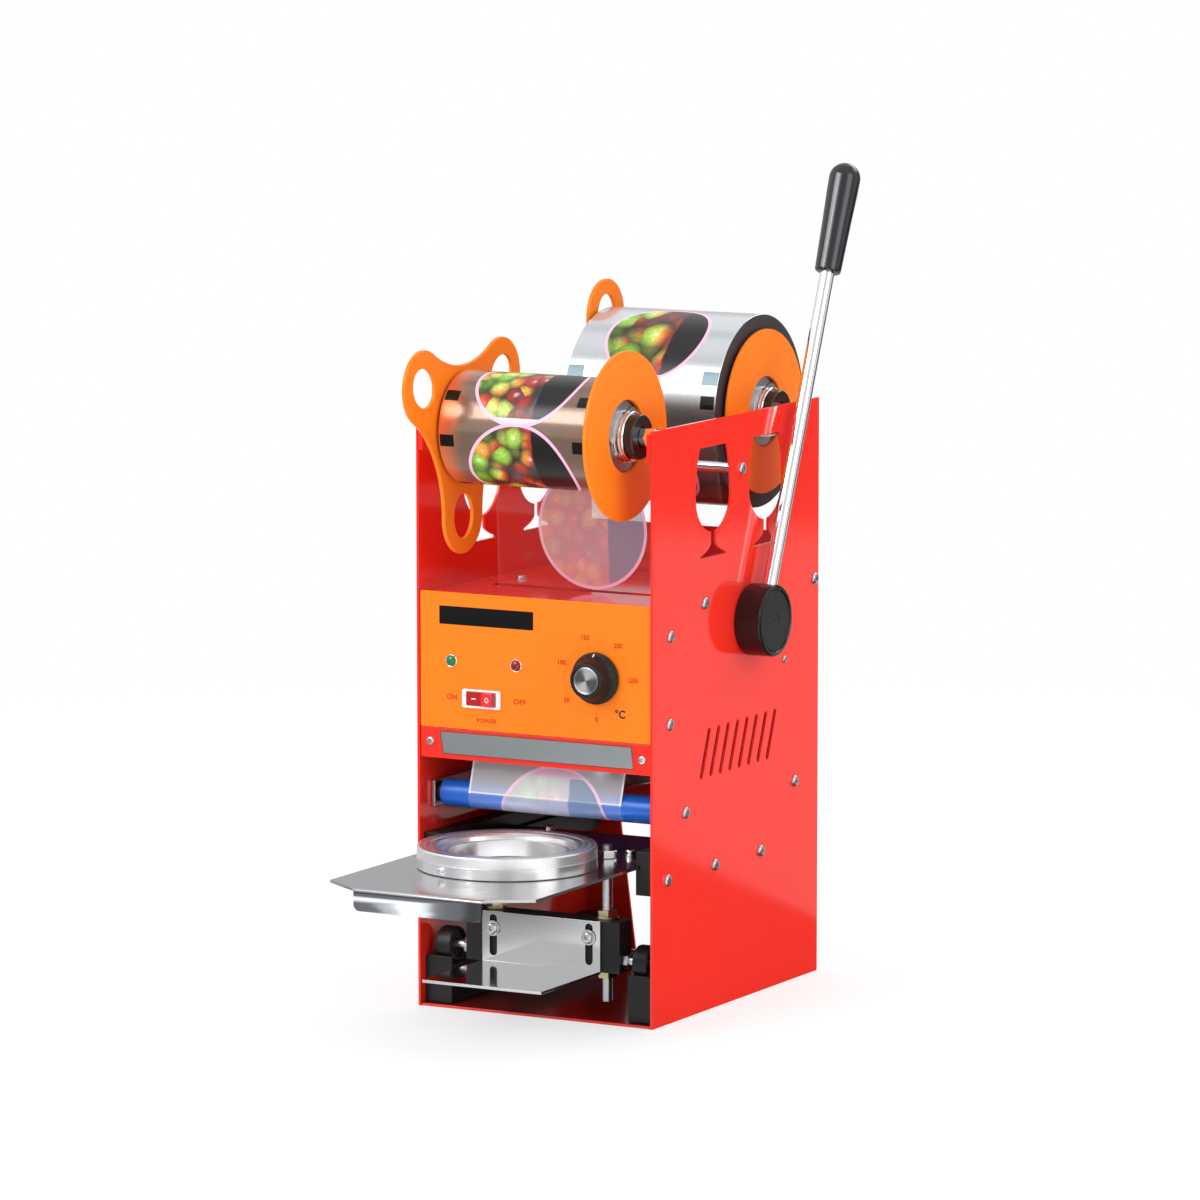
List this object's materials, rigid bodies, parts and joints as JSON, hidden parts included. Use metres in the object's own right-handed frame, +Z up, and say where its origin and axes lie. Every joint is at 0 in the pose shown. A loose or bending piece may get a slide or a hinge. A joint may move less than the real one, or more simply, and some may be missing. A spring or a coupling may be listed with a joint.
{
  "type": "cup sealing machine",
  "caption": "Red sheet-metal bench machine with a side lever that presses a heated head through printed film onto a cup held in a sliding tray.",
  "frame": {"origin": "centre of the housing's underside, on the surface that the machine stands on", "axes": "+X to the right seen from the front, +Y to the rear, +Z up; the tray comes out along -Y"},
  "size_m": [0.2132, 0.4754, 0.5949],
  "materials": {
    "red_paint": "glossy red powder paint",
    "chrome": "polished chrome",
    "steel": "machined steel",
    "spring_steel": "drawn spring wire",
    "mirror_steel": "mirror-polished stainless sheet",
    "aluminium": "turned aluminium",
    "black_plastic": "satin black moulded plastic",
    "orange_plastic": "smooth orange plastic",
    "film": "clear and silver printed lidding film",
    "blue_rubber": "smooth blue silicone rubber",
    "white_plastic": "white switch plastic",
    "red_lens": "translucent red plastic",
    "green_lens": "translucent green plastic"
  },
  "bodies": {
    "housing": {"left_side_panel": "red_paint", "right_side_panel": "red_paint", "base_plate": "red_paint", "rear_panel": "red_paint", "top_deck": "red_paint", "control_panel": "red_paint", "film_guard": "red_paint", "tie_rod": "chrome", "film_guide_rod": "steel", "green_lamp": "green_lens", "red_lamp": "red_lens", "switch_housing": "white_plastic", "thermostat_body": "black_plastic", "power_inlet": "black_plastic", "left_upper_rail": "black_plastic", "right_upper_rail": "black_plastic", "left_lower_rail": "black_plastic", "right_lower_rail": "black_plastic", "left_roller_bracket": "steel", "right_roller_bracket": "steel", "left_return_spring": "spring_steel", "right_return_spring": "spring_steel", "left_shaft_bearing": "steel", "right_shaft_bearing": "steel", "press_bridge": "steel", "rear_web": "film", "seal_web": "film", "front_web": "film"},
    "lever": {"main_shaft": "steel", "crank": "steel", "lever_hub": "black_plastic", "lever_rod": "chrome", "lever_grip": "black_plastic"},
    "press_head": {"head_carrier": "steel", "left_guide_post": "chrome", "right_guide_post": "chrome", "heating_plate": "aluminium", "cutter_ring": "steel"},
    "tray": {"tray_plate": "mirror_steel", "cup_ring": "aluminium", "cross_bar": "black_plastic", "left_hanger_rod": "steel", "right_hanger_rod": "steel", "left_slot_screw": "steel", "right_slot_screw": "steel"},
    "cup_support": {"cup_support": "mirror_steel"},
    "left_wheel": {"left_wheel": "black_plastic"},
    "right_wheel": {"right_wheel": "black_plastic"},
    "takeup_roll": {"takeup_shaft": "chrome", "takeup_star": "orange_plastic", "takeup_flange": "orange_plastic", "takeup_film": "film"},
    "supply_roll": {"supply_shaft": "chrome", "supply_star": "orange_plastic", "supply_flange": "orange_plastic", "supply_film": "film"},
    "front_roller": {"front_roller": "blue_rubber"},
    "rear_roller": {"rear_roller": "blue_rubber"},
    "dial": {"dial_knob": "black_plastic"},
    "rocker": {"switch_rocker": "red_lens"}
  },
  "joints": [
    {"name": "lever_turn", "type": "hinge", "parent": "housing", "child": "lever", "pos_m": [0, 0.0195, 0.275], "axis": [1, 0, 0], "range_deg": [0, 72]},
    {"name": "head_press", "type": "slide", "parent": "housing", "child": "press_head", "axis": [0, 0, -1], "range_m": [0, 0.02944], "stiffness_N_per_m": 1200, "springref_m": -0.02, "deforming": ["left_return_spring", "right_return_spring"]},
    {"name": "tray_slide", "type": "slide", "parent": "housing", "child": "tray", "axis": [0, 1, 0], "range_m": [0, 0.128]},
    {"name": "support_height", "type": "slide", "parent": "tray", "child": "cup_support", "axis": [0, 0, 1], "range_m": [-0.007, 0.017]},
    {"name": "left_wheel_spin", "type": "hinge", "parent": "tray", "child": "left_wheel", "pos_m": [-0.08, -0.108, 0.0435], "axis": [1, 0, 0], "continuous": true},
    {"name": "right_wheel_spin", "type": "hinge", "parent": "tray", "child": "right_wheel", "pos_m": [0.08, -0.108, 0.0435], "axis": [1, 0, 0], "continuous": true},
    {"name": "takeup_spin", "type": "hinge", "parent": "housing", "child": "takeup_roll", "pos_m": [0, -0.115, 0.419], "axis": [1, 0, 0], "continuous": true},
    {"name": "supply_spin", "type": "hinge", "parent": "housing", "child": "supply_roll", "pos_m": [0, 0.098, 0.416], "axis": [1, 0, 0], "continuous": true},
    {"name": "front_roller_spin", "type": "hinge", "parent": "housing", "child": "front_roller", "pos_m": [0, -0.104, 0.153], "axis": [1, 0, 0], "continuous": true},
    {"name": "rear_roller_spin", "type": "hinge", "parent": "housing", "child": "rear_roller", "pos_m": [0, 0.105, 0.153], "axis": [1, 0, 0], "continuous": true},
    {"name": "dial_turn", "type": "hinge", "parent": "housing", "child": "dial", "pos_m": [0.05, -0.1287, 0.248], "axis": [0, 1, 0], "range_deg": [0, 270]},
    {"name": "rocker_tilt", "type": "hinge", "parent": "housing", "child": "rocker", "pos_m": [-0.04275, -0.1268, 0.22635], "axis": [0, 0, 1], "range_deg": [0, 20]}
  ],
  "couplings": [
    {"joint": "head_press", "follows": "lever_turn", "m_per_rad": 0.023387},
    {"joint": "left_wheel_spin", "follows": "tray_slide", "rad_per_m": -76.923},
    {"joint": "right_wheel_spin", "follows": "tray_slide", "rad_per_m": -76.923}
  ]
}
